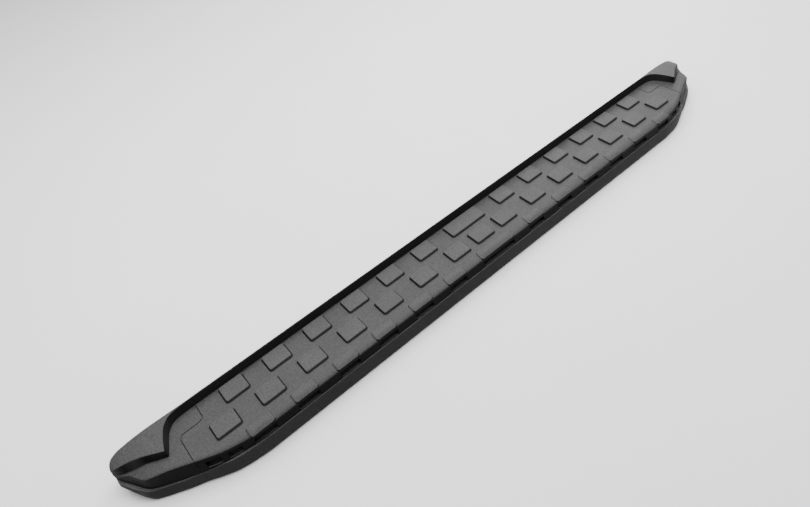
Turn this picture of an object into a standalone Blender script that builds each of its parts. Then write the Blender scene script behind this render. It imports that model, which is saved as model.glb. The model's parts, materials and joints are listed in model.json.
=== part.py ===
"""Running board: a fixed side step with a moulded tread cover on an aluminium beam.

+X runs along the board, +Y points inboard (towards the vehicle) and +Z is up.
The origin is the middle of the footprint, on the surface that the board rests on.
The two ends mirror each other, so every feature line is a function of the
distance from mid-length.
"""
import math

import bmesh
import bpy

MM = 0.001

# Driving dimensions
PITCH = 110 * MM          # spacing of the tread pads along the board
HALF_LENGTH = 973 * MM
DECK_Z = 68 * MM          # flat tread surface
SKIN = 3 * MM             # wall thickness of the mouldings
GAP = 0.3 * MM            # clearance between neighbouring pieces
COVER_END = 831.6 * MM    # where the cover, fascia and trim meet the end caps
CAP_GAP = 0.6 * MM        # width of the joint between cover and end cap
CENTRE_Y = 2.8 * MM       # middle of the width, in the coordinates of the feature lines
WALL_FOOT_Z = 39 * MM     # lower edge of the back wall between the end caps

# Tread pads
PAD_LENGTH = 54.5 * MM
PAD_HEIGHT = 5.5 * MM
PAD_DRAFT = 1.3 * MM
ROW_1 = (32.6 * MM, 73 * MM)
ROW_2 = (-28.7 * MM, 11.6 * MM)
ROW_3 = (-73 * MM, -49 * MM)

# Load-carrying beam
BEAM_HALF = 812 * MM
BEAM_Y = (-30 * MM, 56 * MM)
BEAM_Z = (40 * MM, 64.7 * MM)
SLOT_Y = (-8 * MM, 34 * MM)
BRACKET_X = (-690 * MM, -230 * MM, 230 * MM, 690 * MM)

# Fasteners
BOLT_RADIUS = 4 * MM
SCREW_RADIUS = 2.2 * MM
SCREW_X = 872 * MM
SCREW_Y = (2 * MM, 44 * MM)
CLIP_Y = -58 * MM
SUPPORT_X = tuple(side * (0.75 + step) * PITCH for side in (-1, 1) for step in (0, 2, 4))


def line(*points):
    """A smooth, non-overshooting curve through (distance, value) points in millimetres."""
    xs = [p[0] * MM for p in points]
    ys = [p[1] * MM for p in points]
    slopes = [(ys[i + 1] - ys[i]) / (xs[i + 1] - xs[i]) for i in range(len(xs) - 1)]
    tangents = [slopes[0]]
    for before, after in zip(slopes, slopes[1:]):
        same_way = before * after > 0
        tangents.append(2 * before * after / (before + after) if same_way else 0.0)
    tangents.append(slopes[-1])

    def value(s):
        if s <= xs[0]:
            return ys[0]
        if s >= xs[-1]:
            return ys[-1]
        i = max(k for k in range(len(xs) - 1) if xs[k] <= s)
        h = xs[i + 1] - xs[i]
        t = (s - xs[i]) / h
        a = ys[i] * (1 + 2 * t) * (1 - t) ** 2 + tangents[i] * h * t * (1 - t) ** 2
        b = ys[i + 1] * t * t * (3 - 2 * t) - tangents[i + 1] * h * t * t * (1 - t)
        return a + b

    return value


def split(at, before, after):
    """Two curves that meet at a crease."""
    return lambda s: before(s) if s <= at * MM else after(s)


CREASE = 865              # the wing's upright corner, in millimetres from mid-length

# Feature lines: (distance from mid-length, place) in millimetres
inboard_y = line((781, 85.3), (925, 92.3), (942, 92.3), (958, 90), (967, 86), (973, 80))
top_z = line((781, 91), (865, 87.3), (935, 79), (955, 73), (964, 68), (970, 61), (973, 55))
wall_top_y = split(
    CREASE,
    line((781, 82.5), (803, 82.3), (825, 79), (842, 67), (851, 52), (859, 33), (865, 14)),
    line((865, 14), (880, 23), (907, 39), (935, 51.5), (952, 57.5), (964, 63), (973, 74)),
)
wall_foot_y = split(
    CREASE,
    line((781, 77), (803, 76.5), (825, 72.5), (839, 62), (848, 48), (857, 28), (865, 10.5)),
    line((865, 10.5), (880, 16), (907, 28), (924, 33.6), (946, 44), (963, 57), (973, 71)),
)
floor_z = line((880, 68), (907, 66.5), (924, 64), (945, 59), (962, 54), (973, 50))
roll_y = line((715, -46.7), (770, -43.5), (825, -29), (880, -8), (911, 2), (924, 9), (932, 17.5),
              (945, 37), (963, 54.5), (973, 68.5))
front_y = line((690, -73), (715, -70), (770, -59.5), (825, -39), (880, -16), (911, -5),
               (924, 1.5), (932, 11), (945, 33), (963, 52), (973, 66.5))
front_drop = line((715, 7.7), (770, 5), (825, 3), (973, 2.5))
foot_y = line((690, -77), (770, -66), (803, -58), (834, -45), (888, -21), (924, -3), (936, 8),
              (947, 24), (963, 48), (973, 65))
foot_z = line((690, 38.3), (790, 37), (832, 31), (880, 28), (925, 28), (950, 32), (973, 38))
skirt_y = line((700, -86.2), (745, -81.7), (774, -75.9), (803, -65.4), (833, -52.5), (862, -42.5),
               (891, -30.3), (920, -17.4), (935, -9), (947, 4), (957, 18), (966, 34), (973, 46))
bottom_z = line((930, 0), (947, 9), (957, 20), (973, 30))
SKIRT_RUN = 7 * MM        # how far the skirt slopes outboard below its shoulder
BULGE = 1.2 * MM
LEDGE_MIN = 1.5 * MM


def front_z(s):
    return floor_z(s) - front_drop(s)


def ledge_y(s):
    return min(skirt_y(s) + SKIRT_RUN, foot_y(s) - LEDGE_MIN)


def bulge_z(s):
    """The skirt is fullest a third of the way up."""
    return bottom_z(s) + (foot_z(s) - bottom_z(s)) * 0.36


# Scene helpers

def clear_scene():
    for existing in list(bpy.data.objects):
        bpy.data.objects.remove(existing, do_unlink=True)


def material(name, colour, roughness, metallic=0.0):
    made = bpy.data.materials.new(name)
    made.use_nodes = True
    shader = made.node_tree.nodes["Principled BSDF"]
    shader.inputs["Base Color"].default_value = (*colour, 1.0)
    shader.inputs["Roughness"].default_value = roughness
    shader.inputs["Metallic"].default_value = metallic
    return made


def add(name, bm, finish=None, smooth=False):
    """Turn a bmesh into a named object with its faces pointing out."""
    bmesh.ops.recalc_face_normals(bm, faces=bm.faces[:])
    mesh = bpy.data.meshes.new(name)
    bm.to_mesh(mesh)
    bm.free()
    if smooth:
        mesh.shade_smooth()
        mesh.set_sharp_from_angle(angle=math.radians(35))
    made = bpy.data.objects.new(name, mesh)
    made.parent = bpy.data.objects["board_frame"]
    bpy.context.scene.collection.objects.link(made)
    if finish:
        mesh.materials.append(finish)
    return made


def boolean(target, tool, operation):
    """Cut or join a tool, which stays in the scene as a hidden guide."""
    tool.hide_render = True
    tool.display_type = "WIRE"
    step = target.modifiers.new(tool.name, "BOOLEAN")
    step.operation = operation
    step.solver = "EXACT"
    step.object = tool


def loft(rings, bm=None):
    """A closed solid through rings of points that all have the same count."""
    bm = bm or bmesh.new()
    rows = [[bm.verts.new(point) for point in ring] for ring in rings]
    count = len(rows[0])
    for near, far in zip(rows, rows[1:]):
        for i in range(count):
            j = (i + 1) % count
            bm.faces.new((near[i], near[j], far[j], far[i]))
    bm.faces.new(rows[0])
    bm.faces.new(reversed(rows[-1]))
    return bm


def sweep(stations, section, side=1):
    """Loft a (y, z) section, given as a function of the distance from mid-length."""
    return loft([[(side * x, y, z) for y, z in section(abs(x))] for x in stations])


UNDER, OVER = -50 * MM, 150 * MM      # heights that clear the part below and above


def prism(outline, low, high, bm=None):
    """Extrude a plan outline from one height to another."""
    return loft([[(x, y, z) for x, y in outline] for z in (low, high)], bm)


def box(x, y, z, bm=None):
    outline = ((x[0], y[0]), (x[1], y[0]), (x[1], y[1]), (x[0], y[1]))
    return prism(outline, z[0], z[1], bm)


def turned(x, y, profile, segments=16, bm=None):
    """A solid of revolution about a vertical axis, from (radius, z) rings bottom to top."""
    def ring(radius, z):
        turns = [2 * math.pi * k / segments for k in range(segments)]
        return [(x + radius * math.cos(a), y + radius * math.sin(a), z) for a in turns]
    return loft([ring(radius, z) for radius, z in profile], bm)


def mirrored_stations(stations):
    return [-x for x in reversed(stations)] + list(stations)


def arc(centre, radius, start, end, steps):
    angles = [math.radians(start + (end - start) * k / steps) for k in range(steps + 1)]
    return [(centre[0] + radius * math.cos(a), centre[1] + radius * math.sin(a)) for a in angles]


# Joint between the cover and an end cap, seen from above

def joint_outline(offset, side):
    """Region that belongs to the end cap; a positive offset shrinks it."""
    start = 773 * MM + offset
    shelf = 34.7 * MM + offset
    shoulder = 44.6 * MM + offset
    end = COVER_END + offset
    far = HALF_LENGTH + 20 * MM
    points = [(start, 100 * MM), (start, shoulder + 3 * MM)]
    points += arc((start + 8 * MM, shoulder), 8 * MM, 180, 250, 3)
    points += [(start + 12 * MM, shelf + 1 * MM), (start + 17 * MM, shelf)]
    points += arc((end - 12 * MM, shelf - 12 * MM), 12 * MM, 90, 0, 5)
    points += [(end, -110 * MM), (far, -110 * MM), (far, 100 * MM)]
    return [(side * x, y) for x, y in points]


# Mouldings

CURVED = [x * MM for x in (690, 703, 715, 729, 744, 758, 770, 781, 792, 803, 814, 825)]


def cover_section(s):
    """Back wall, flat deck and rolled outboard edge, one skin thick."""
    back, top, deck = inboard_y(s), top_z(s), floor_z(s)
    foot, start, lip, low = wall_foot_y(s), roll_y(s), front_y(s), front_z(s)
    bevel = 1.2 * MM
    roll = []
    for k in range(1, 5):
        a = math.pi / 2 * k / 5
        roll.append((start + (lip - start) * math.sin(a), low + (deck - low) * math.cos(a)))
    outside = [(back, WALL_FOOT_Z), (back, top - bevel), (back - bevel, top),
               (wall_top_y(s), top), (foot + 0.8 * MM, deck + 3 * MM), (foot - 2 * MM, deck),
               (start, deck), *roll, (lip, low), (lip, low - SKIN)]
    under = [(y + 1.6 * MM, z - SKIN) for y, z in reversed(roll[1:3])]
    inside = [(lip + SKIN, low - SKIN), (lip + SKIN, low), *under,
              (start + 2 * MM, deck - SKIN), (back - SKIN, deck - SKIN), (back - SKIN, WALL_FOOT_Z)]
    return outside + inside


def pad_centres(row):
    """Places along the board: rows 1 and 3 line up, row 2 sits half a pitch between them."""
    if row == 2:
        places = [0.0] + [side * 0.755 * PITCH for side in (-1, 1)]
        first = 1.762
    else:
        places = []
        first = 1.27
    for step in range(6):
        places += [side * (first + step) * PITCH for side in (-1, 1)]
    return places


def pad(bm, centre, length, depth, low, high):
    """A drafted block; the draft leaves its inboard face upright."""
    half, d = length / 2, PAD_DRAFT
    base = ((centre - half - d, depth[0] - d), (centre + half + d, depth[0] - d),
            (centre + half + d, depth[1]), (centre - half - d, depth[1]))
    top = ((centre - half, depth[0]), (centre + half, depth[0]),
           (centre + half, depth[1]), (centre - half, depth[1]))
    return loft([[(x, y, low) for x, y in base], [(x, y, high) for x, y in top]], bm)


def edge_pad(bm, centre, length):
    """A wedge that carries the deck level out over the rolled edge."""
    nose, start = ROW_3
    low, deck = DECK_Z - 6 * MM, DECK_Z + 0.8 * MM
    section = ((start + 1 * MM, low), (start + 1 * MM, deck), (nose + 5 * MM, deck - 1.6 * MM),
               (nose + 1.5 * MM, deck - 3.6 * MM), (nose + 1.2 * MM, low))
    ends = (centre - length / 2, centre + length / 2)
    return loft([[(x, y, z) for y, z in section] for x in ends], bm)


def tread_pads():
    bm = bmesh.new()
    long_pad = PITCH
    low, high = DECK_Z - 1.2 * MM, DECK_Z + PAD_HEIGHT
    pad(bm, 0, long_pad, ROW_1, low, high)
    edge_pad(bm, 0, long_pad)
    for centre in pad_centres(1):
        pad(bm, centre, PAD_LENGTH, ROW_1, low, high)
        edge_pad(bm, centre, PAD_LENGTH)
    for centre in pad_centres(2):
        pad(bm, centre, PAD_LENGTH, ROW_2, low, high)
    return add("guide_pads", bm)


def tread_cover(finish):
    cover = add("tread_cover", sweep(mirrored_stations(CURVED + [COVER_END]), cover_section), finish)
    boolean(cover, tread_pads(), "UNION")
    for side, name in ((-1, "left"), (1, "right")):
        region = add("guide_joint_" + name, prism(joint_outline(0.0, side), UNDER, OVER))
        boolean(cover, region, "DIFFERENCE")
    return cover


def fascia_section(s):
    """Upright strip between the cover's lip and the trim's ledge."""
    top_y, foot = front_y(s) + 0.6 * MM, foot_y(s)
    top, low = front_z(s) - SKIN - GAP, foot_z(s) + GAP
    depth = 2.5 * MM
    return [(foot, low), (foot, low + 2 * MM), (top_y, top), (top_y + depth, top),
            (foot + depth, low + 2 * MM), (foot + 6 * MM, low + 2 * MM), (foot + 6 * MM, low)]


END_SLOTS = ((758, 30), (802, 30))    # beyond the last pad, with a bridge between them


def outer_fascia(finish):
    stations = mirrored_stations(CURVED + [COVER_END - CAP_GAP])
    fascia = add("outer_fascia", sweep(stations, fascia_section), finish)
    bm = bmesh.new()
    rail = 2.6 * MM
    low, high = foot_z(0) + GAP + rail, DECK_Z - 7.7 * MM - SKIN - rail
    slots = [(0, PITCH)] + [(centre, PAD_LENGTH) for centre in pad_centres(3)]
    for side in (-1, 1):
        slots += [(side * centre * MM, length * MM) for centre, length in END_SLOTS]
    for centre, length in slots:
        ends = (centre - length / 2, centre + length / 2)
        box(ends, (-90 * MM, -25 * MM), (low, high), bm)
    boolean(fascia, add("guide_slots", bm), "DIFFERENCE")
    return fascia


def trim_section(s):
    """Ledge, outward-sloping skirt and the flange that the fascia stands on."""
    ledge, bottom, inner, top = ledge_y(s), skirt_y(s), foot_y(s) + 26 * MM, foot_z(s)
    middle = bulge_z(s)
    return [(inner, top), (ledge + 1 * MM, top), (ledge, top - 1 * MM),
            (bottom - BULGE, middle), (bottom, 1.5 * MM), (bottom + 1.2 * MM, 0), (bottom + 3.6 * MM, 0),
            (bottom - BULGE + 3.2 * MM, middle), (ledge + 3.4 * MM, top - SKIN), (inner, top - SKIN)]


def lower_trim(finish):
    stations = mirrored_stations(CURVED + [COVER_END - CAP_GAP])
    trim = add("lower_trim", sweep(stations, trim_section), finish)
    bm = bmesh.new()
    for x in SUPPORT_X:
        turned(x, CLIP_Y, [(3.3 * MM, 28 * MM), (3.3 * MM, 43 * MM)], 12, bm)
    boolean(trim, add("guide_clip_holes", bm), "DIFFERENCE")
    return trim


CAP_STATIONS = [x * MM for x in (773.6, 781, 792, 803, 814, 825, 832.2, 839, 844, 848, 852, 856, 859,
                                 862, 865, 872, 880, 893, 907, 916, 924, 928, 932, 936, 941, 947, 952,
                                 957, 961, 964, 967, 970, 972, 973)]


def cap_section(s):
    """The whole outline of an end cap at one distance, wing, channel and skirt."""
    back, top, floor, low = inboard_y(s), top_z(s), floor_z(s), front_z(s)
    wing, foot, start, lip = wall_top_y(s), wall_foot_y(s), roll_y(s), front_y(s)
    bevel = min(1.5 * MM, (back - wing) / 4)
    base, ledge, bottom, shoulder = bottom_z(s), ledge_y(s), skirt_y(s), foot_z(s)
    mid_y = start + (lip - start) * 0.75
    mid_z = low + (floor - low) * 0.7
    return [(back, base), (back, top - bevel), (back - bevel, top), (wing, top),
            (foot, floor), (start, floor), (mid_y, mid_z), (lip, low), (foot_y(s), shoulder),
            (ledge + 0.8 * MM, shoulder), (ledge, shoulder - 1 * MM), (bottom - BULGE, bulge_z(s)),
            (bottom, base + 1.5 * MM), (bottom + 1.2 * MM, base)]


WING_HOLLOW = 868 * MM    # past the upright corner the hollow also rises into the wing


def cap_cavity_section(s):
    """The hollow under an end cap, open below and towards the beam."""
    back, floor, shoulder = inboard_y(s) - SKIN, floor_z(s) - SKIN, foot_z(s)
    roof = top_z(s) - SKIN if s > WING_HOLLOW else floor + 0.5 * MM
    step_y = wall_top_y(s) + 1.2 * SKIN if s > WING_HOLLOW else back - 2 * MM
    front = min(front_y(s) + 2.2 * SKIN, step_y - 4 * MM)
    foot = min(foot_y(s) + 1.6 * SKIN, front - 1 * MM)
    bottom = min(skirt_y(s) + 1.6 * SKIN, foot - 1 * MM)
    below = -5 * MM
    return [(back, below), (back, roof), (step_y, roof), (step_y - 1 * MM, floor), (front, floor),
            (foot, shoulder), (foot - 1 * MM, shoulder - 2 * SKIN), (bottom, bulge_z(s)), (bottom, below)]


def end_cap(name, side, finish):
    cap = add(name, sweep(CAP_STATIONS, cap_section, side), finish)
    hollow = [x for x in CAP_STATIONS if 820 * MM < x < 950 * MM]
    boolean(cap, add("guide_hollow_" + name, sweep(hollow, cap_cavity_section, side)), "DIFFERENCE")
    far = HALF_LENGTH + 10 * MM
    outside = [(side * x, y) for x, y in ((700 * MM, -110 * MM), (700 * MM, 110 * MM),
                                          (773 * MM, 110 * MM))]
    edge = [point for point in joint_outline(CAP_GAP, side)[:-2] if abs(point[0]) < far]
    outline = outside + [(edge[0][0], 110 * MM)] + edge[1:]
    boolean(cap, add("guide_seam_" + name, prism(outline, UNDER, OVER)), "DIFFERENCE")
    bm = bmesh.new()
    start, end = side * 700 * MM, side * (COVER_END + CAP_GAP)
    plan = ((start, -110 * MM), (end, -110 * MM), (end, 82.3 * MM), (start, 82.3 * MM))
    prism(plan, UNDER, DECK_Z - SKIN, bm)
    boolean(cap, add("guide_under_" + name, bm), "DIFFERENCE")
    plan = ((start, 60 * MM), (end, 60 * MM), (end, 110 * MM), (start, 110 * MM))
    boolean(cap, add("guide_back_" + name, prism(plan, UNDER, WALL_FOOT_Z)), "DIFFERENCE")
    bosses = bmesh.new()
    pilots = bmesh.new()
    for y in SCREW_Y:
        roof = DECK_Z - SKIN + 1 * MM if y < 20 * MM else top_z(SCREW_X) - SKIN + 1 * MM
        low = BEAM_Z[0] + 4 * MM + GAP
        turned(side * SCREW_X, y, [(5 * MM, low), (5 * MM, roof)], 16, bosses)
        turned(side * SCREW_X, y, [(2.5 * MM, low - 5 * MM), (2.5 * MM, low + 15 * MM)], 12, pilots)
    boolean(cap, add("guide_bosses_" + name, bosses), "UNION")
    boolean(cap, add("guide_pilots_" + name, pilots), "DIFFERENCE")
    return cap


# Structure

def deck_beam(finish):
    ends = (-BEAM_HALF, BEAM_HALF)
    beam = add("deck_beam", box(ends, BEAM_Y, BEAM_Z), finish)
    past = (-BEAM_HALF - 5 * MM, BEAM_HALF + 5 * MM)
    wall = 2.5 * MM
    floor = BEAM_Z[0] + 11 * MM
    cells = bmesh.new()
    for low, high in beam_cells():
        box(past, (low, high), (floor + wall, BEAM_Z[1] - wall), cells)
    boolean(beam, add("guide_cells", cells), "DIFFERENCE")
    slots = bmesh.new()
    for y in SLOT_Y:
        lip, half, throat = 3 * MM, 9 * MM, 5 * MM
        low = BEAM_Z[0]
        section = ((y - throat, low - 5 * MM), (y + throat, low - 5 * MM), (y + throat, low + lip),
                   (y + half, low + lip), (y + half, floor - 1 * MM), (y - half, floor - 1 * MM),
                   (y - half, low + lip), (y - throat, low + lip))
        loft([[(x, a, b) for a, b in section] for x in past], slots)
    boolean(beam, add("guide_t_slots", slots), "DIFFERENCE")
    return beam


def beam_cells():
    """The three closed channels above the T slots."""
    wall = 2.5 * MM
    width = (BEAM_Y[1] - BEAM_Y[0] - 4 * wall) / 3
    return [(BEAM_Y[0] + wall + k * (width + wall), BEAM_Y[0] + wall + k * (width + wall) + width)
            for k in range(3)]


def beam_plug(name, side, finish):
    """End plug: a face plate, a stub in each cell and a tongue for the cap screws."""
    face = BEAM_HALF + GAP
    plate = [side * face, side * (face + SKIN)]
    plug = add(name, box(plate, BEAM_Y, BEAM_Z), finish)
    bm = bmesh.new()
    floor = BEAM_Z[0] + 13.5 * MM
    for low, high in beam_cells():
        reach = [side * (face - 18 * MM), side * (face + 1 * MM)]
        box(reach, (low + GAP, high - GAP), (floor + GAP, BEAM_Z[1] - 2.5 * MM - GAP), bm)
    tongue = [side * (face + 1 * MM), side * (SCREW_X + 9 * MM)]
    box(tongue, (SCREW_Y[0] - 9 * MM, SCREW_Y[1] + 9 * MM), (BEAM_Z[0] + 0.2 * MM, BEAM_Z[0] + 4 * MM), bm)
    boolean(plug, add("guide_stubs_" + name, bm), "UNION")
    holes = bmesh.new()
    for y in SCREW_Y:
        turned(side * SCREW_X, y, [(2.8 * MM, 30 * MM), (2.8 * MM, 50 * MM)], 12, holes)
    boolean(plug, add("guide_holes_" + name, holes), "DIFFERENCE")
    return plug


def cover_support(name, x, finish):
    """A bracket that carries the rolled edge out from the beam, with a window through it."""
    half = 6 * MM
    inner, toe = BEAM_Y[0] - GAP, -68 * MM
    low, top = foot_z(0) + GAP, DECK_Z - SKIN - GAP
    section = ((inner, low), (inner, top), (-47 * MM, top), (-58 * MM, top - 2.5 * MM),
               (-65 * MM, top - 5.3 * MM), (toe + 0.5 * MM, top - 8.2 * MM), (toe, low))
    support = add(name, loft([[(x + end, y, z) for y, z in section] for end in (-half, half)]), finish)
    window = ((-63 * MM, low + 9 * MM), (-37 * MM, low + 9 * MM),
              (-37 * MM, top - 5 * MM), (-60 * MM, top - 8 * MM))
    bm = loft([[(x + end, y, z) for y, z in window] for end in (-2 * half, 2 * half)])
    turned(x, CLIP_Y, [(3.1 * MM, low - 15 * MM), (3.1 * MM, low + 7.4 * MM)], 12, bm)
    boolean(support, add("guide_window_" + name, bm), "DIFFERENCE")
    return support


# Fasteners

def push_clip(name, x, finish):
    """A ribbed push clip from below, through the trim's flange into a support."""
    head = foot_z(0) - SKIN - GAP
    profile = [(5.5 * MM, head - 1.8 * MM), (6.5 * MM, head - 1 * MM), (6.5 * MM, head),
               (2.7 * MM, head), (2.7 * MM, head + 5 * MM), (1.6 * MM, head + 9 * MM)]
    return add(name, turned(x, CLIP_Y, profile, 12), finish, smooth=True)


def cap_screw(name, x, y, finish):
    """A pan-head screw, driven up through the beam plug into a boss of the cap."""
    seat = BEAM_Z[0] + 0.2 * MM - GAP
    profile = [(3.2 * MM, seat - 3 * MM), (4.4 * MM, seat - 1.8 * MM), (4.6 * MM, seat),
               (SCREW_RADIUS, seat), (SCREW_RADIUS, seat + 14 * MM), (0.9 * MM, seat + 17 * MM)]
    return add(name, turned(x, y, profile, 12), finish, smooth=True)


ISOLATOR = 2 * MM
PLATE = 5 * MM
PLATE_HALF = (38 * MM, 34 * MM)
PLATE_Y = sum(SLOT_Y) / 2
ISOLATOR_TOP = BEAM_Z[0] - GAP
PLATE_TOP = ISOLATOR_TOP - ISOLATOR - GAP
PLATE_LOW = PLATE_TOP - PLATE
LAND = 1 * MM
LAND_HALF = (24 * MM, 7 * MM)


def pierced_plate(name, x, low, high, inset, finish):
    """A plate with clipped corners and a hole for each T bolt."""
    a, b, c = PLATE_HALF[0] - inset, PLATE_HALF[1] - inset, 7 * MM
    corners = [(a, b - c), (a - c, b), (c - a, b), (-a, b - c),
               (-a, c - b), (c - a, -b), (a - c, -b), (a, c - b)]
    plate = add(name, prism([(x + p, PLATE_Y + q) for p, q in corners], low, high), finish)
    bm = bmesh.new()
    for y in SLOT_Y:
        turned(x, y, [(4.4 * MM, low - 5 * MM), (4.4 * MM, high + 5 * MM)], 16, bm)
    boolean(plate, add("guide_bores_" + name, bm), "DIFFERENCE")
    return plate


def bracket_plate(name, x, finish):
    """The steel plate over a bracket, with a raised land between its nuts for the bracket."""
    plate = pierced_plate(name, x, PLATE_LOW, PLATE_TOP, 0.0, finish)
    half_x, half_y = LAND_HALF
    across, along = (x - half_x, x + half_x), (PLATE_Y - half_y, PLATE_Y + half_y)
    land = add("guide_land_" + name, box(across, along, (PLATE_LOW - LAND, PLATE_LOW + 1 * MM)))
    boolean(plate, land, "UNION")
    return plate


def t_bolt(name, x, y, finish):
    """A rectangular head that slides in the T slot, on a round shank pointing down."""
    seat = BEAM_Z[0] + 3 * MM + GAP
    tip = BEAM_Z[0] - 23 * MM
    shank = [(3.2 * MM, tip), (BOLT_RADIUS, tip + 1 * MM), (BOLT_RADIUS, seat + 2 * MM)]
    bolt = add(name, turned(x, y, shank, 16), finish)
    half = (11 * MM, 8.4 * MM)
    bm = box((x - half[0], x + half[0]), (y - half[1], y + half[1]), (seat, seat + 5.5 * MM))
    boolean(bolt, add("guide_head_" + name, bm), "UNION")
    return bolt


def flange_nut(name, x, y, finish):
    """A hexagon on a round flange, clamped under the plate."""
    top = PLATE_LOW - GAP
    nut = add(name, turned(x, y, [(8.2 * MM, top - 1.6 * MM), (8.6 * MM, top)], 18), finish)
    bm = turned(x, y, [(6.9 * MM, top - 7.5 * MM), (7.4 * MM, top - 1 * MM)], 6)
    boolean(nut, add("guide_hex_" + name, bm), "UNION")
    bore = turned(x, y, [(4.3 * MM, top - 12 * MM), (4.3 * MM, top + 4 * MM)], 16)
    boolean(nut, add("guide_bore_" + name, bore), "DIFFERENCE")
    return nut


def board_frame():
    """Everything hangs on one empty, which centres the width on the origin."""
    frame = bpy.data.objects.new("board_frame", None)
    frame.location.y = -CENTRE_Y
    bpy.context.scene.collection.objects.link(frame)


def build():
    clear_scene()
    board_frame()
    plastic = material("textured_black_plastic", (0.032, 0.032, 0.034), 0.62)
    inner = material("ribbed_black_plastic", (0.02, 0.02, 0.022), 0.7)
    aluminium = material("mill_aluminium", (0.62, 0.63, 0.65), 0.4, 1.0)
    coated = material("coated_steel", (0.03, 0.03, 0.033), 0.5)
    zinc = material("zinc_steel", (0.66, 0.66, 0.63), 0.35, 1.0)
    rubber = material("black_rubber", (0.018, 0.018, 0.018), 0.9)

    tread_cover(plastic)
    outer_fascia(plastic)
    lower_trim(plastic)
    deck_beam(aluminium)
    for side, name in ((-1, "left"), (1, "right")):
        end_cap(name + "_end_cap", side, plastic)
        beam_plug(name + "_beam_plug", side, inner)
        for number, y in enumerate(SCREW_Y, 1):
            cap_screw(f"{name}_cap_screw_{number}", side * SCREW_X, y, zinc)
    for number, x in enumerate(sorted(SUPPORT_X), 1):
        cover_support(f"cover_support_{number}", x, inner)
        push_clip(f"push_clip_{number}", x, inner)
    bolt = 0
    for number, x in enumerate(BRACKET_X, 1):
        bracket_plate(f"bracket_plate_{number}", x, coated)
        pierced_plate(f"isolator_pad_{number}", x, PLATE_TOP + GAP, ISOLATOR_TOP, 1 * MM, rubber)
        for y in SLOT_Y:
            bolt += 1
            t_bolt(f"t_bolt_{bolt}", x, y, zinc)
            flange_nut(f"flange_nut_{bolt}", x, y, zinc)


build()
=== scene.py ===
"""Running board in black textured plastic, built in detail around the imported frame."""

import math

import bmesh
import bpy
from mathutils import Euler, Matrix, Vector
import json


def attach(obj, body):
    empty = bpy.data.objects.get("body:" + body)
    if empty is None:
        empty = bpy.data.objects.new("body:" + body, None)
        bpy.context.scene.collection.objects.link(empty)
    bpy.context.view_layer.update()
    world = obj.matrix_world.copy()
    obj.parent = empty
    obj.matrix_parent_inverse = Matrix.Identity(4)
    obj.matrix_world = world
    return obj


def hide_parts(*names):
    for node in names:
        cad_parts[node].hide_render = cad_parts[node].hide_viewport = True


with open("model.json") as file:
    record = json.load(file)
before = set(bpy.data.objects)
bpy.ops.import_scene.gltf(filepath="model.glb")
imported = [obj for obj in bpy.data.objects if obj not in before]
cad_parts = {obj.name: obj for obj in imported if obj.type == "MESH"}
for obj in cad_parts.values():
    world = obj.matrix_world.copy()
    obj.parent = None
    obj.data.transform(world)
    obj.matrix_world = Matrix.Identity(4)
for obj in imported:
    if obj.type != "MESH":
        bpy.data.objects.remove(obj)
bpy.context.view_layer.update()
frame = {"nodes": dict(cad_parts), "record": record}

MM = 0.001
PITCH = 110 * MM          # spacing of the pads along the board
HALF_LENGTH = 973 * MM
DECK_Z = 68 * MM
SKIN = 3 * MM             # wall thickness of the mouldings
GAP = 0.3 * MM            # clearance between neighbouring pieces
COVER_END = 831.6 * MM
CAP_GAP = 0.2 * MM        # width of the open seam between the cover and a cap
CENTRE_Y = 2.8 * MM       # the feature lines' width is centred by this shift
WALL_FOOT_Z = 39 * MM     # lower edge of the back wall


# Curves: features of the board against the distance from mid-length

def line(*points):
    """A smooth, non-overshooting curve through (distance, value) points in millimetres."""
    xs = [p[0] * MM for p in points]
    ys = [p[1] * MM for p in points]
    slopes = [(ys[i + 1] - ys[i]) / (xs[i + 1] - xs[i]) for i in range(len(xs) - 1)]
    tangents = [slopes[0]]
    for before, after in zip(slopes, slopes[1:]):
        same_way = before * after > 0
        tangents.append(2 * before * after / (before + after) if same_way else 0.0)
    tangents.append(slopes[-1])

    def value(s):
        if s <= xs[0]:
            return ys[0]
        if s >= xs[-1]:
            return ys[-1]
        i = max(k for k in range(len(xs) - 1) if xs[k] <= s)
        h = xs[i + 1] - xs[i]
        t = (s - xs[i]) / h
        a = ys[i] * (1 + 2 * t) * (1 - t) ** 2 + tangents[i] * h * t * (1 - t) ** 2
        b = ys[i + 1] * t * t * (3 - 2 * t) - tangents[i + 1] * h * t * t * (1 - t)
        return a + b

    return value


def split(at, before, after):
    """Two curves that meet at a crease."""
    return lambda s: before(s) if s <= at * MM else after(s)


CREASE = 865              # where the wing's point meets the tread
inboard_y = line((781, 85.3), (925, 92.3), (942, 92.3), (958, 90), (967, 86), (973, 80))
top_z = line((781, 91), (865, 87.3), (935, 79), (955, 73), (964, 68), (970, 61), (973, 55))
wall_top_y = split(
    CREASE,
    line((781, 82.5), (803, 82.3), (825, 79), (842, 67), (851, 52), (859, 33), (865, 14)),
    line((865, 14), (880, 23), (907, 39), (935, 51.5), (952, 57.5), (964, 63), (973, 74)),
)
wall_foot_y = split(
    CREASE,
    line((781, 77), (803, 76.5), (825, 72.5), (839, 62), (848, 48), (857, 28), (865, 10.5)),
    line((865, 10.5), (880, 16), (907, 28), (924, 33.6), (946, 44), (963, 57), (973, 71)),
)
floor_z = line((880, 68), (907, 66.5), (924, 64), (945, 59), (962, 54), (973, 50))
roll_y = line((715, -46.7), (770, -43.5), (825, -29), (880, -8), (911, 2), (924, 9), (932, 17.5),
              (945, 37), (963, 54.5), (973, 68.5))
front_y = line((690, -73), (715, -70), (770, -59.5), (825, -39), (880, -16), (911, -5),
               (924, 1.5), (932, 11), (945, 33), (963, 52), (973, 66.5))
front_drop = line((715, 7.7), (770, 5), (825, 3), (973, 2.5))
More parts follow.
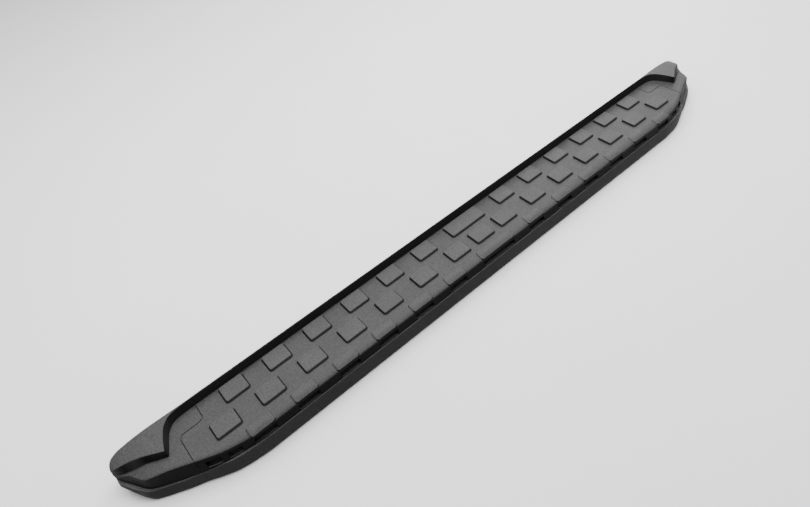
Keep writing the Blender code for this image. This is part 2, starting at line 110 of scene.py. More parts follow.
foot_y = line((690, -77), (770, -66), (803, -58), (834, -45), (888, -21), (924, -3), (936, 8),
              (947, 24), (963, 48), (973, 65))
foot_z = line((690, 38.3), (790, 37), (832, 31), (880, 28), (925, 28), (950, 32), (973, 38))
skirt_y = line((700, -86.2), (745, -81.7), (774, -75.9), (803, -65.4), (833, -52.5), (862, -42.5),
               (891, -30.3), (920, -17.4), (935, -9), (947, 4), (957, 18), (966, 34), (973, 46))
bottom_z = line((930, 0), (947, 9), (957, 20), (973, 30))
SKIRT_RUN = 7 * MM        # how far the skirt slopes in between its bottom and the ledge
LEDGE_MIN = 1.5 * MM
BULGE = 1.2 * MM
BULGE_HEIGHT = 0.36       # share of the skirt's height


def front_z(s):
    return floor_z(s) - front_drop(s)


def ledge_y(s):
    return min(skirt_y(s) + SKIRT_RUN, foot_y(s) - LEDGE_MIN)


def bulge_z(s):
    return bottom_z(s) + (foot_z(s) - bottom_z(s)) * BULGE_HEIGHT


# Mesh helpers

SHARP_ANGLE = 32          # degrees; edges that turn further than this stay crisp
CORNER_SHARE = 0.45       # most of a side that one rounded corner takes up
TINY = 1e-6


def add(name, bm):
    """A new object from the mesh, with its faces pointing out."""
    bmesh.ops.recalc_face_normals(bm, faces=bm.faces[:])
    mesh = bpy.data.meshes.new(name)
    bm.to_mesh(mesh)
    bm.free()
    made = bpy.data.objects.new(name, mesh)
    bpy.context.scene.collection.objects.link(made)
    return made


def boolean(target, tool, operation):
    """Put a boolean step on the target; settle applies it."""
    step = target.modifiers.new(operation, "BOOLEAN")
    step.operation = operation
    step.solver = "EXACT"
    step.object = tool


def settle(piece):
    """Apply the modifiers, remove their tools and shade the result smooth."""
    tools = [m.object for m in piece.modifiers if m.type == "BOOLEAN"]
    graph = bpy.context.evaluated_depsgraph_get()
    mesh = bpy.data.meshes.new_from_object(piece.evaluated_get(graph))
    piece.modifiers.clear()
    piece.data = mesh
    for tool in tools:
        bpy.data.objects.remove(tool, do_unlink=True)
    mesh.shade_smooth()
    mesh.set_sharp_from_angle(angle=math.radians(SHARP_ANGLE))
    weight = piece.modifiers.new("weighted", "WEIGHTED_NORMAL")
    weight.keep_sharp = True
    weight.weight = 100
    graph = bpy.context.evaluated_depsgraph_get()
    piece.data = bpy.data.meshes.new_from_object(piece.evaluated_get(graph))
    piece.modifiers.clear()
    return piece


def loft(rings, bm=None):
    """A closed solid through rings of points that all have the same count."""
    bm = bm or bmesh.new()
    rows = [[bm.verts.new(point) for point in ring] for ring in rings]
    count = len(rows[0])
    for near, far in zip(rows, rows[1:]):
        for i in range(count):
            j = (i + 1) % count
            bm.faces.new((near[i], near[j], far[j], far[i]))
    bm.faces.new(rows[0])
    bm.faces.new(reversed(rows[-1]))
    return bm


def sweep(stations, section, side=1):
    """Loft a (y, z) section, given as a function of the distance from mid-length."""
    return loft([[(side * x, y - CENTRE_Y, z) for y, z in section(abs(x))] for x in stations])


def prism(outline, low, high):
    return loft([[(x, y - CENTRE_Y, z) for x, y in outline] for z in (low, high)])


def turned(x, y, profile, segments, bm):
    """A round solid about an upright axis, through (radius, height) pairs."""
    def ring(radius, z):
        turns = [2 * math.pi * k / segments for k in range(segments)]
        return [(x + radius * math.cos(a), y - CENTRE_Y + radius * math.sin(a), z) for a in turns]
    return loft([ring(radius, z) for radius, z in profile], bm)


def arc(centre, radius, start, end, steps):
    """Points along an arc between two angles in degrees."""
    angles = [math.radians(start + (end - start) * k / steps) for k in range(steps + 1)]
    return [(centre[0] + radius * math.cos(a), centre[1] + radius * math.sin(a)) for a in angles]


def rounded_rectangle(centre, half, low, high, radius, steps):
    """Outline that reaches half a length to both sides of the centre, from low to high."""
    outline = []
    for x, y, turn in ((half, high, 0), (-half, high, 90), (-half, low, 180), (half, low, 270)):
        inner = (centre + x - math.copysign(radius, x), y - (radius if turn < 180 else -radius))
        outline += arc(inner, radius, turn, turn + 90, steps)
    return outline


def rounded(corners, steps=4):
    """Round each (y, z, radius in millimetres) corner of a closed outline.

    A corner gives the same number of points in every section, so that they can be
    lofted: one if its radius is zero, steps + 1 if not.
    """
    points = []
    count = len(corners)
    for i, (y, z, radius) in enumerate(corners):
        if radius == 0:
            points.append((y, z))
            continue
        here = Vector((y, z))
        before = Vector(corners[i - 1][:2]) - here
        after = Vector(corners[(i + 1) % count][:2]) - here
        a = here + before * min(CORNER_SHARE, radius * MM / max(before.length, TINY))
        b = here + after * min(CORNER_SHARE, radius * MM / max(after.length, TINY))
        for k in range(steps + 1):
            u = k / steps
            point = a * (1 - u) ** 2 + here * 2 * u * (1 - u) + b * u * u
            points.append((point.x, point.y))
    return points


def spaced(start, end, step):
    """Even stations from start to end, in millimetres, about a step apart."""
    count = max(1, round((end - start) / step))
    return [(start + (end - start) * k / count) * MM for k in range(count + 1)]


MIDDLE_STATIONS = (0, 230, 460)       # millimetres; the board is straight up to the curve
CURVE_START = 690
CURVE_STEP = 3


def full_length(end):
    """Stations from one end of a long moulding to the other."""
    half = [x * MM for x in MIDDLE_STATIONS] + spaced(CURVE_START, end / MM, CURVE_STEP)
    return [-x for x in reversed(half[1:])] + half


# Joint between the cover and an end cap

UNDER, OVER = -50 * MM, 150 * MM      # heights that clear the part below and above
OUTBOARD, INBOARD = -110 * MM, 110 * MM    # widths that clear it on each side
BEYOND = HALF_LENGTH + 20 * MM
JOINT_START = 773 * MM
JOINT_SHELF = 34.7 * MM
JOINT_SHOULDER = 44.6 * MM
JOINT_BEND = 8 * MM
JOINT_CORNER = 12 * MM
SEAM_SLANT = 2.4 * MM
SEAM_BEVEL = 1.0 * MM
SLANT_LOW, SLANT_HIGH = DECK_Z - SKIN - 0.37 * MM, DECK_Z - 1.23 * MM
BEVEL_TOP, BEVEL_CLEAR = DECK_Z + 0.03 * MM, DECK_Z + 0.83 * MM


def joint_outline(offset, side):
    """Region that belongs to the end cap; a positive offset shrinks it."""
    start, end = JOINT_START + offset, COVER_END + offset
    shelf, shoulder = JOINT_SHELF + offset, JOINT_SHOULDER + offset
    points = [(start, INBOARD), (start, shoulder + 3 * MM)]
    points += arc((start + JOINT_BEND, shoulder), JOINT_BEND, 180, 250, steps=8)
    points += [(start + 12 * MM, shelf + 1 * MM), (start + 17 * MM, shelf)]
    points += arc((end - JOINT_CORNER, shelf - JOINT_CORNER), JOINT_CORNER, 90, 0, steps=12)
    points += [(end, OUTBOARD), (BEYOND, OUTBOARD), (BEYOND, INBOARD)]
    return [(side * x, y) for x, y in points]


def seam_prism(outline, groove):
    """A cutter that slants through the deck's skin and bevels its edge.

    The slant keeps light from showing through the seam, and the bevel leaves a groove.
    """
    levels = ((UNDER, -SEAM_SLANT), (SLANT_LOW, -SEAM_SLANT), (SLANT_HIGH, 0.0),
              (BEVEL_TOP, groove), (BEVEL_CLEAR, 0.0), (OVER, 0.0))
    return loft([[(x, y - CENTRE_Y, z) for x, y in outline(offset)] for z, offset in levels])


# Tread cover

ROLL_STEPS = 10
PAD_LENGTH = 54.5 * MM
PAD_HEIGHT = 5.5 * MM
PAD_CORNER = 3.2 * MM
PAD_PAIRS = 6             # pads a pitch apart on each side of mid-length
OUTER_FIRST = 1.27        # distance of the first such pad in the outer rows, in pitches
MIDDLE_FIRST = 1.762      # and in the middle row,
MIDDLE_PAIR = 0.755       # which has a closer pair besides
ROW_1 = (32.6 * MM, 73 * MM)          # outboard and inboard edge of each row's pads
ROW_2 = (-28.7 * MM, 11.6 * MM)
ROW_3 = (-72.4 * MM, -49 * MM)
INBOARD_FLANK = 0.4       # run of a pad's long flanks against the short ones
OUTBOARD_FLANK = 1.35
LIP_FLANK = 0.12          # for the outer pads, whose outboard flank must stay on the lip
EDGE_RISE = 2.4 * MM      # outer pads: height above the deck at their inboard side,
EDGE_DIP = 4.2 * MM       # and the fall from there to the nose
EDGE_POWER = 2.5

# (growth in plan in millimetres, share of the height), from the flare at a pad's foot to its top edge
PAD_RINGS = ((4.6, -0.3), (4.6, -0.03), (3.8, 0.04), (3.2, 0.16), (2.6, 0.34), (1.3, 0.74),
             (0.8, 0.88), (0.15, 0.97), (-0.7, 1.0))
TOP_SHARES = (0.8, 0.5, 0.2)          # widths of the rings that fill a pad's top
TOP_LENGTHWAYS = 0.5                  # along the board they shrink only half as much


def roll_points(start, lip, low, deck):
    """Quarter of an ellipse from the flat deck down to the front edge."""
    turns = [math.pi / 2 * k / ROLL_STEPS for k in range(ROLL_STEPS)]
    return [(start + (lip - start) * math.sin(a), low + (deck - low) * math.cos(a), 0) for a in turns]


def roll_height(y):
    """Height of the rolled edge at mid-length."""
    start, lip, low = roll_y(0), front_y(0), front_z(0)
    if y >= start:
        return DECK_Z
    reach = min(1.0, (start - y) / (start - lip))
    return low + (DECK_Z - low) * math.sqrt(1 - reach * reach)


def cover_section(s):
    back, top, deck = inboard_y(s), top_z(s), floor_z(s)
    foot, start, lip, low = wall_foot_y(s), roll_y(s), front_y(s), front_z(s)
    upper = [(back - SKIN, deck - SKIN, 2), (back - SKIN, WALL_FOOT_Z, 0.8), (back, WALL_FOOT_Z, 0.8),
             (back, top, 1.3), (wall_top_y(s), top, 1.1), (foot, deck, 5)]
    edge = [(lip, low, 0.5), (lip, low - SKIN, 0.9), (lip + SKIN, low - SKIN, 0.9),
            (lip + SKIN, low, 1), (start + 2 * MM, deck - SKIN, 4)]
    return rounded(upper + roll_points(start, lip, low, deck) + edge)


def pairs(first):
    """Places on both sides of mid-length, a pitch apart from the first one on."""
    return [side * (first + step) * PITCH for step in range(PAD_PAIRS) for side in (-1, 1)]


def outer_row():
    """(centre, length) of every pad in the first and third rows; the middle one is longer."""
    return [(0, PITCH)] + [(centre, PAD_LENGTH) for centre in pairs(OUTER_FIRST)]


def middle_row():
    return [0.0] + [side * MIDDLE_PAIR * PITCH for side in (-1, 1)] + pairs(MIDDLE_FIRST)


def pad_ring(centre, length, depth, grow, outboard):
    """Outline of a pad in plan, grown outwards by an offset."""
    low, high = depth[0] - grow * outboard, depth[1] + grow * INBOARD_FLANK
    return rounded_rectangle(centre, length / 2 + grow, low, high, PAD_CORNER + max(grow, 0), steps=6)


def pad(bm, centre, length, depth, top, base, outboard=OUTBOARD_FLANK):
    """A drafted pad with a small flare at its foot, a rounded top edge and a filled top."""
    rings = []
    for grow, share in PAD_RINGS:
        outline = pad_ring(centre, length, depth, grow * MM, outboard)
        rings.append([(x, y - CENTRE_Y, base(y) + share * (top(y) - base(y))) for x, y in outline])
    middle = (depth[0] + depth[1]) / 2
    for share in TOP_SHARES:
        along = 1 - (1 - share) * TOP_LENGTHWAYS
        inset = [(centre + (x - centre) * along, middle + (y - middle) * share) for x, y in outline]
        rings.append([(x, y - CENTRE_Y, top(y)) for x, y in inset])
    return loft(rings, bm)


def tread_pads():
    bm = bmesh.new()

    def flat_top(y):
        return DECK_Z + PAD_HEIGHT

    def deck(y):
        return DECK_Z

    def edge_top(y):
        """The edge pads carry the deck level out and dip only at the nose."""
        out = max(0.0, (ROW_3[1] - y) / (ROW_3[1] - ROW_3[0]))
        return DECK_Z + EDGE_RISE - EDGE_DIP * out ** EDGE_POWER

    for centre, length in outer_row():
        pad(bm, centre, length, ROW_1, flat_top, deck)
        pad(bm, centre, length, ROW_3, edge_top, roll_height, LIP_FLANK)
    for centre in middle_row():
        pad(bm, centre, PAD_LENGTH, ROW_2, flat_top, deck)
    return add("pad_tool", bm)


def tread_cover():
    cover = add("tread_cover_skin", sweep(full_length(COVER_END), cover_section))
    boolean(cover, tread_pads(), "UNION")
    for side in (-1, 1):
        region = seam_prism(lambda offset: joint_outline(offset, side), -SEAM_BEVEL)
        boolean(cover, add("joint_tool", region), "DIFFERENCE")
    return settle(cover)


# Fascia and trim

FASCIA_WALL = 2.5 * MM
FASCIA_INSET = 0.6 * MM               # its top edge stands back under the lip by this much
FLANGE_DEPTH, FLANGE_HEIGHT = 6 * MM, 2 * MM
SLOT_RAIL = 2.6 * MM                  # fascia left above and below each slot
SLOT_CORNER = 3 * MM
SLOT_REACH = (-95 * MM, -25 * MM)
END_SLOTS = ((758, 30), (802, 30))    # distance from mid-length and length, in millimetres
TRIM_REACH = 26 * MM                  # how far its top flange runs in under the fascia
TRIM_WALLS = (3.4 * MM, 3.2 * MM, 3.6 * MM)    # thickness at the ledge, the bulge and the bottom
CLIP_Y = -58 * MM
CLIP_FIRST, CLIP_STEPS = 0.75, (0, 2, 4)       # in pitches from mid-length
CLIP_HOLE = 3.3 * MM
CLIP_CUT = (28 * MM, 43 * MM)


def fascia_section(s):
    top_y, foot = front_y(s) + FASCIA_INSET, foot_y(s)
    top, low = front_z(s) - SKIN - GAP, foot_z(s) + GAP
    face = [(foot, low, 0.4), (foot, low + FLANGE_HEIGHT, 0.8), (top_y, top, 0.5)]
    back = [(top_y + FASCIA_WALL, top, 0.5), (foot + FASCIA_WALL, low + FLANGE_HEIGHT, 0.5)]
    flange = [(foot + FLANGE_DEPTH, low + FLANGE_HEIGHT, 0.5), (foot + FLANGE_DEPTH, low, 0.5)]
    return rounded(face + back + flange)


def slot_block(bm, centre, length, low, high):
    """A cutter with rounded corners, seen from the front."""
    outline = rounded_rectangle(centre, length / 2, low, high, SLOT_CORNER, steps=5)
    return loft([[(x, y, z) for x, z in outline] for y in SLOT_REACH], bm)


def outer_fascia():
    fascia = add("outer_fascia_skin", sweep(full_length(COVER_END - CAP_GAP), fascia_section))
    bm = bmesh.new()
    low, high = foot_z(0) + GAP + SLOT_RAIL, front_z(0) - SKIN - SLOT_RAIL
    slots = outer_row()
    for side in (-1, 1):
        slots += [(side * centre * MM, length * MM) for centre, length in END_SLOTS]
    for centre, length in slots:
        slot_block(bm, centre, length, low, high)
    boolean(fascia, add("slot_tool", bm), "DIFFERENCE")
    return settle(fascia)


def trim_section(s):
    ledge, bottom, inner, top = ledge_y(s), skirt_y(s), foot_y(s) + TRIM_REACH, foot_z(s)
    middle = bulge_z(s)
    at_ledge, at_bulge, at_bottom = TRIM_WALLS
    outside = [(inner, top, 0.5), (ledge, top, 1.2), (bottom - BULGE, middle, 12), (bottom, 0, 1.6)]
    inside = [(bottom + at_bottom, 0, 0.8), (bottom - BULGE + at_bulge, middle, 12),
              (ledge + at_ledge, top - SKIN, 1), (inner, top - SKIN, 0.5)]
    return rounded(outside + inside, steps=6)


def lower_trim():
    trim = add("lower_trim_skin", sweep(full_length(COVER_END - CAP_GAP), trim_section))
    bm = bmesh.new()
    for side in (-1, 1):
        for step in CLIP_STEPS:
            x = side * (CLIP_FIRST + step) * PITCH
            turned(x, CLIP_Y, [(CLIP_HOLE, z) for z in CLIP_CUT], 24, bm)
    boolean(trim, add("clip_tool", bm), "DIFFERENCE")
    return settle(trim)


# End caps

CAP_RUNS = ((770, 832.2, 2.5), (832.2, 865, 1.2), (865, 925, 2.5), (925, 967, 1.5),
            (967, 973, 0.75))         # start, end and spacing of the stations, in millimetres
CAP_CUTS = 700 * MM                   # the cutters reach back to here, past the cap's near end
LAP_BACK = 82.3 * MM                  # the lap over the cover is one skin thick up to here
WALL_SIDE = 60 * MM                   # the back wall stands inboard of this
HOLLOW_ENDS = (820 * MM, 950 * MM)
WING_HOLLOW = 868 * MM                # from here outwards the wing is hollow too
SCREW_X = 872 * MM
SCREWS = ((2 * MM, DECK_Z), (44 * MM, top_z(SCREW_X)))    # place in width, height of the face above
BOSS_RADIUS, PILOT_RADIUS = 5 * MM, 2.5 * MM
BOSS_FOOT = 44 * MM + GAP


def cap_section(s):
    back, top, floor, low = inboard_y(s), top_z(s), floor_z(s), front_z(s)
    wing, foot, start, lip = wall_top_y(s), wall_foot_y(s), roll_y(s), front_y(s)
    base, ledge, bottom, shoulder = bottom_z(s), ledge_y(s), skirt_y(s), foot_z(s)
    upper = [(back, base, 1), (back, top, 3), (wing, top, 1.6), (foot, floor, 3)]
    lower = [(lip, low, 1.5), (foot_y(s), shoulder, 2), (ledge, shoulder, 1.8),
             (bottom - BULGE, bulge_z(s), 12), (bottom, base, 1.6)]
    return rounded(upper + roll_points(start, lip, low, floor) + lower)


def cap_cavity_section(s):
    """The hollow under a cap, a skin in from the top and rather more in from the front."""
    back, floor, shoulder = inboard_y(s) - SKIN, floor_z(s) - SKIN, foot_z(s)
    roof = top_z(s) - SKIN if s > WING_HOLLOW else floor + 0.5 * MM
    step_y = wall_top_y(s) + 1.2 * SKIN if s > WING_HOLLOW else back - 2 * MM
    front = min(front_y(s) + 2.2 * SKIN, step_y - 4 * MM)
    foot = min(foot_y(s) + 1.6 * SKIN, front - 1 * MM)
    bottom = min(skirt_y(s) + 1.6 * SKIN, foot - 1 * MM)
    below = -5 * MM
    return [(back, below), (back, roof), (step_y, roof), (step_y - 1 * MM, floor), (front, floor),
            (foot, shoulder), (foot - 1 * MM, shoulder - 2 * SKIN), (bottom, bulge_z(s)), (bottom, below)]


def cap_stations():
    stations = [CAP_RUNS[0][0] * MM]
    for run in CAP_RUNS:
        stations += spaced(*run)[1:]
    return stations


def end_cap(name, side):
    cap = add(name, sweep(cap_stations(), cap_section, side))
    hollow = [x for x in cap_stations() if HOLLOW_ENDS[0] < x < HOLLOW_ENDS[1]]
    boolean(cap, add("hollow_tool", sweep(hollow, cap_cavity_section, side)), "DIFFERENCE")
    start, end = side * CAP_CUTS, side * (COVER_END + CAP_GAP)

    def covered(offset):
        """Region that belongs to the cover."""
        edge = joint_outline(CAP_GAP + offset, side)[:-2]
        return [(start, OUTBOARD), (start, INBOARD)] + edge

    def block(low_y, high_y, top):
        plan = ((start, low_y), (end, low_y), (end, high_y), (start, high_y))
        return prism(plan, UNDER, top)

    boolean(cap, add("seam_tool", seam_prism(covered, SEAM_BEVEL)), "DIFFERENCE")
    boolean(cap, add("under_tool", block(OUTBOARD, LAP_BACK, DECK_Z - SKIN)), "DIFFERENCE")
    boolean(cap, add("back_tool", block(WALL_SIDE, INBOARD, WALL_FOOT_Z)), "DIFFERENCE")
    bosses = bmesh.new()
    pilots = bmesh.new()
    for y, face in SCREWS:
        rise = (BOSS_FOOT, face - SKIN + 1 * MM)
        bore = (BOSS_FOOT - 5 * MM, BOSS_FOOT + 15 * MM)
        turned(side * SCREW_X, y, [(BOSS_RADIUS, z) for z in rise], 32, bosses)
        turned(side * SCREW_X, y, [(PILOT_RADIUS, z) for z in bore], 24, pilots)
    boolean(cap, add("boss_tool", bosses), "UNION")
    boolean(cap, add("pilot_tool", pilots), "DIFFERENCE")
    return settle(cap)


# Materials

class Nodes:
    """Small helper to write a node tree in one line per node."""

    def __init__(self, name):
        self.material = bpy.data.materials.new(name)
        self.material.use_nodes = True
        self.tree = self.material.node_tree
        self.shader = self.tree.nodes["Principled BSDF"]
        self.place = self.add("ShaderNodeTexCoord").outputs["Object"]

    def add(self, kind, **values):
        node = self.tree.nodes.new(kind)
        for key, value in values.items():
            setattr(node, key, value)
        return node

    def link(self, source, target):
        self.tree.links.new(source, target)

    def noise(self, scale, detail=3.0, roughness=0.6):
        node = self.add("ShaderNodeTexNoise")
        node.inputs["Scale"].default_value = scale
        node.inputs["Detail"].default_value = detail
        node.inputs["Roughness"].default_value = roughness
        self.link(self.place, node.inputs["Vector"])
        return node.outputs["Fac"]

    def cells(self, scale):
        node = self.add("ShaderNodeTexVoronoi")
        node.inputs["Scale"].default_value = scale
        self.link(self.place, node.inputs["Vector"])
        return node.outputs["Distance"]

    def ramp(self, source, low, high, start=0.3, end=0.7):
        node = self.add("ShaderNodeValToRGB")
        node.color_ramp.elements[0].position = start
        node.color_ramp.elements[1].position = end
        node.color_ramp.elements[0].color = (*low, 1)
        node.color_ramp.elements[1].color = (*high, 1)
        self.link(source, node.inputs["Fac"])
        return node.outputs["Color"]

    def range(self, source, low, high, start=0.3, end=0.7):
        node = self.add("ShaderNodeMapRange")
        node.inputs["From Min"].default_value = start
        node.inputs["From Max"].default_value = end
        node.inputs["To Min"].default_value = low
        node.inputs["To Max"].default_value = high
        self.link(source, node.inputs["Value"])
        return node.outputs["Result"]

    def blend(self, a, b, factor):
        node = self.add("ShaderNodeMix", data_type="FLOAT")
        node.inputs[0].default_value = factor
        self.link(a, node.inputs[2])
        self.link(b, node.inputs[3])
        return node.outputs[0]

    def multiply(self, a, b):
        node = self.add("ShaderNodeMath", operation="MULTIPLY")
        self.link(a, node.inputs[0])
        self.link(b, node.inputs[1])
        return node.outputs[0]

    def bump(self, source, strength, distance):
        node = self.add("ShaderNodeBump")
        node.inputs["Strength"].default_value = strength
        node.inputs["Distance"].default_value = distance
        self.link(source, node.inputs["Height"])
        self.link(node.outputs["Normal"], self.shader.inputs["Normal"])

    def set(self, **values):
        for key, value in values.items():
            self.shader.inputs[key.replace("_", " ")].default_value = value


WALL_PAINTED_LIGHT = 2.6           # how much paler the back wall is painted than the other upright faces: painted light in place of the light it misses in shade
WORN_RANGE = (0.93, 1.12)             # brightness of the deck, and of the worn tops of the pads


def moulded_plastic(name, level, upright, rough, grain=0.5):
    """Moulded plastic with coarse grain, a lighter colour on level faces and a darker satin on upright
    ones: painted light and painted shade, set by which way a face points.
    """
    n = Nodes(name)
    fine = n.noise(1100, 2.0)
    mottle = n.noise(330, 3.0)
    cloud = n.noise(14, 3.0)
    speck = n.blend(fine, mottle, 0.6)
    face = n.add("ShaderNodeSeparateXYZ")
    n.link(n.add("ShaderNodeNewGeometry").outputs["Normal"], face.inputs[0])
    slope = n.range(face.outputs["Z"], 0.0, 1.0, 0.5, 0.85)

    def grained(colour, spread):
        dark, light = [tuple(c * k for c in colour) for k in (1 - spread, 1 + spread)]
        return n.ramp(speck, dark, light, 0.38, 0.62)

    # Painted light and shade: the colour blends from the darker upright colour to the lighter level one
    # as a face turns up.
    lit_and_shaded_colour = n.add("ShaderNodeMix", data_type="RGBA")
    n.link(slope, lit_and_shaded_colour.inputs[0])
    n.link(grained(upright, 0.3), lit_and_shaded_colour.inputs[6])
    n.link(grained(level, 0.5), lit_and_shaded_colour.inputs[7])
    spot = n.add("ShaderNodeSeparateXYZ")
    n.link(n.place, spot.inputs[0])
    worn = n.range(spot.outputs["Z"], *WORN_RANGE, DECK_Z + 0.6 * MM, DECK_Z + 2 * MM)
    # Painted light: upright faces towards the inboard side, the back wall, are made paler by up to the
    # factor above.
    inboard = n.range(spot.outputs["Y"], 0.0, WALL_PAINTED_LIGHT, -5 * MM, 30 * MM)
    wall = n.multiply(inboard, n.range(face.outputs["Z"], 1.0, 0.0, 0.28, 0.45))
    wall_painted_light_factor = n.add("ShaderNodeMath", operation="ADD")
    wall_painted_light_factor.inputs[1].default_value = 1.0
    n.link(wall, wall_painted_light_factor.inputs[0])
    tone = n.multiply(n.multiply(worn, n.range(cloud, 0.92, 1.06, 0.35, 0.65)), wall_painted_light_factor.outputs[0])
    shade = n.add("ShaderNodeVectorMath", operation="SCALE")
    n.link(lit_and_shaded_colour.outputs[2], shade.inputs[0])
    n.link(tone, shade.inputs["Scale"])
    n.link(shade.outputs[0], n.shader.inputs["Base Color"])
    n.link(n.range(mottle, rough - 0.07, rough + 0.07), n.shader.inputs["Roughness"])
    n.link(n.range(slope, 0.05, 0.28, 0.0, 1.0), n.shader.inputs["Specular IOR Level"])
    n.bump(n.blend(fine, n.cells(900), 0.5), grain, 0.0006)
    return n.material


def satin_plastic(name, dark, light, rough):
    """Plain moulded plastic with faint flow marks."""
    n = Nodes(name)
    cloud = n.noise(45, 4.0)
    n.link(n.ramp(cloud, dark, light), n.shader.inputs["Base Color"])
    n.link(n.range(cloud, rough - 0.05, rough + 0.07), n.shader.inputs["Roughness"])
    n.bump(n.noise(1400, 2.0), 0.12, 0.0003)
    n.set(Specular_IOR_Level=0.15)
    return n.material


def anodised_aluminium(name):
    """Black anodised extrusion with drawing lines along its length."""
    n = Nodes(name)
    stretch = n.add("ShaderNodeMapping")
    stretch.inputs["Scale"].default_value = (2, 900, 900)
    n.link(n.place, stretch.inputs["Vector"])
    streak = n.add("ShaderNodeTexNoise")
    streak.inputs["Scale"].default_value = 1.0
    n.link(stretch.outputs["Vector"], streak.inputs["Vector"])
    lines = streak.outputs["Fac"]
    n.link(n.ramp(lines, (0.03, 0.031, 0.033), (0.06, 0.061, 0.064)), n.shader.inputs["Base Color"])
    n.link(n.range(lines, 0.35, 0.5), n.shader.inputs["Roughness"])
    n.bump(lines, 0.15, 0.0002)
    n.set(Metallic=1.0)
    return n.material


def coated_steel(name):
    """Black powder coat with its orange-peel surface."""
    n = Nodes(name)
    peel = n.noise(420, 2.0)
    n.link(n.ramp(peel, (0.012, 0.012, 0.013), (0.022, 0.022, 0.024)), n.shader.inputs["Base Color"])
    n.link(n.range(peel, 0.35, 0.5), n.shader.inputs["Roughness"])
    n.bump(peel, 0.3, 0.0004)
    return n.material


def zinc_steel(name):
    """Zinc plate, faintly cloudy."""
    n = Nodes(name)
    cloud = n.noise(180, 4.0)
    n.link(n.ramp(cloud, (0.45, 0.46, 0.46), (0.66, 0.66, 0.63)), n.shader.inputs["Base Color"])
    n.link(n.range(cloud, 0.25, 0.42), n.shader.inputs["Roughness"])
    n.bump(n.noise(1500, 2.0), 0.1, 0.0002)
    n.set(Metallic=1.0)
    return n.material


def black_rubber(name):
    """Dull rubber with a dusty bloom."""
    n = Nodes(name)
    bloom = n.noise(120, 4.0)
    n.link(n.ramp(bloom, (0.012, 0.012, 0.012), (0.024, 0.024, 0.024)), n.shader.inputs["Base Color"])
    n.link(n.range(bloom, 0.8, 0.95), n.shader.inputs["Roughness"])
    n.bump(n.noise(700, 3.0), 0.2, 0.0003)
    return n.material


def pale_floor(name):
    """Matt floor with a barely uneven tone."""
    n = Nodes(name)
    n.link(n.ramp(n.noise(3, 2.0), (0.88, 0.88, 0.88), (0.9, 0.9, 0.9)), n.shader.inputs["Base Color"])
    n.set(Roughness=0.9, Specular_IOR_Level=0.1)
    return n.material


LEDGE_OVER, LEDGE_BEHIND = 0.4 * MM, 1 * MM    # the lower finish reaches this far past the ledge


def paint(piece, finish, lower, all_lower):
    """One finish above the trim's ledge and another on the ledge and skirt below it."""
    piece.data.materials.clear()
    piece.data.materials.append(finish)
    piece.data.materials.append(lower)
    for face in piece.data.polygons:
        x, y, z = face.center
        below = z < foot_z(abs(x)) + LEDGE_OVER and y + CENTRE_Y < foot_y(abs(x)) + LEDGE_BEHIND
        face.material_index = 1 if all_lower or below else 0


def dress(node, finish):
    """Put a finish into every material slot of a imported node."""
    for entry in frame["nodes"][node].material_slots:
        entry.material = finish


# Stage

FLOOR_SIZE = 24
SKY_FRONT, SKY_BACK = 0.4, 0.9        # strength of the white sky on the two sides
SKY_FADE = 0.6                        # lean of a direction at which each strength is reached


def lamp(name, place, aim, size, power):
    """A rectangular softbox turned towards a point."""
    light = bpy.data.lights.new(name, "AREA")
    light.shape = "RECTANGLE"
    light.size, light.size_y = size
    light.energy = power
    made = bpy.data.objects.new(name, light)
    made.location = place
    made.rotation_euler = (Vector(aim) - Vector(place)).to_track_quat("-Z", "Y").to_euler()
    bpy.context.scene.collection.objects.link(made)


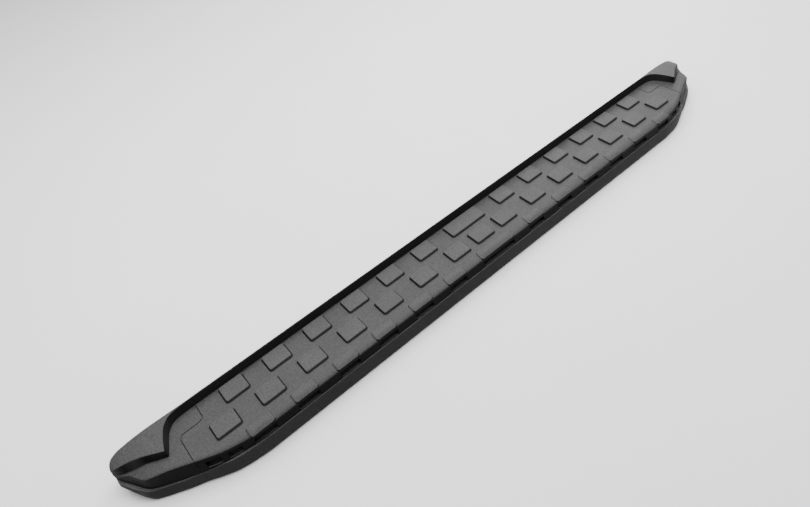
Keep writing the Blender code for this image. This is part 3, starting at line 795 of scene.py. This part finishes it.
def sky():
    """A white sky, dimmer in front of the board than behind it."""
    world = bpy.data.worlds.new("studio")
    world.use_nodes = True
    tree = world.node_tree
    direction = tree.nodes.new("ShaderNodeSeparateXYZ")
    tree.links.new(tree.nodes.new("ShaderNodeTexCoord").outputs["Generated"], direction.inputs[0])
    fade = tree.nodes.new("ShaderNodeMapRange")
    fade.inputs["From Min"].default_value = -SKY_FADE
    fade.inputs["From Max"].default_value = SKY_FADE
    fade.inputs["To Min"].default_value = SKY_FRONT
    fade.inputs["To Max"].default_value = SKY_BACK
    tree.links.new(direction.outputs["Y"], fade.inputs["Value"])
    background = tree.nodes["Background"]
    background.inputs["Color"].default_value = (1, 1, 1, 1)
    tree.links.new(fade.outputs["Result"], background.inputs["Strength"])
    bpy.context.scene.world = world


def studio():
    bpy.ops.mesh.primitive_plane_add(size=FLOOR_SIZE, location=(0, 0, 0))
    floor = bpy.context.object
    floor.name = "studio_floor"
    floor.data.materials.append(pale_floor("pale_floor"))
    lamp("overhead_softbox", (0.2, 0.6, 2.4), (0, 0, 0), (3.6, 1.8), 150)
    lamp("far_softbox", (2.6, 1.6, 1.5), (0.5, 0, 0), (1.8, 1.2), 60)
    sky()


def camera():
    """Stands over the near left end and looks along the board."""
    lens = bpy.data.cameras.new("camera")
    lens.lens = 25.6
    lens.sensor_width = 36
    made = bpy.data.objects.new("camera", lens)
    made.location = (-0.704, -0.7346, 1.1475)
    made.rotation_euler = Euler([math.radians(a) for a in (41.446, 6.559, -40.3)])
    bpy.context.scene.collection.objects.link(made)
    bpy.context.scene.camera = made


def build():
    camera()
    studio()
    # In each finish the level colour is painted light and the upright colour is painted shade: one
    # plastic, lighter where faces point up.
    body = moulded_plastic("grained_black", (0.037, 0.037, 0.0376), (0.0044, 0.0044, 0.0046), 0.58)
    skirt = moulded_plastic("grained_trim", (0.06, 0.06, 0.061), (0.026, 0.026, 0.0265), 0.55, 0.35)
    inner = satin_plastic("inner_plastic", (0.003, 0.003, 0.003), (0.005, 0.005, 0.0052), 0.7)

    skins = {"tread_cover": tread_cover(), "outer_fascia": outer_fascia(), "lower_trim": lower_trim(),
             "left_end_cap": end_cap("left_end_cap_skin", -1),
             "right_end_cap": end_cap("right_end_cap_skin", 1)}
    for node, piece in skins.items():
        paint(piece, body, skirt, node == "lower_trim")
        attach(piece, "root")
        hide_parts(node)

    finishes = {"beam_aluminium": anodised_aluminium("black_anodised"), "inner_black": inner,
                "coated_steel": coated_steel("powder_coat"), "zinc_steel": zinc_steel("zinc_plate"),
                "black_rubber": black_rubber("bloomed_rubber")}
    for part in frame["record"]["subparts"]:
        if part["material_slot"] in finishes:
            dress(part["node"], finishes[part["material_slot"]])


build()

import json
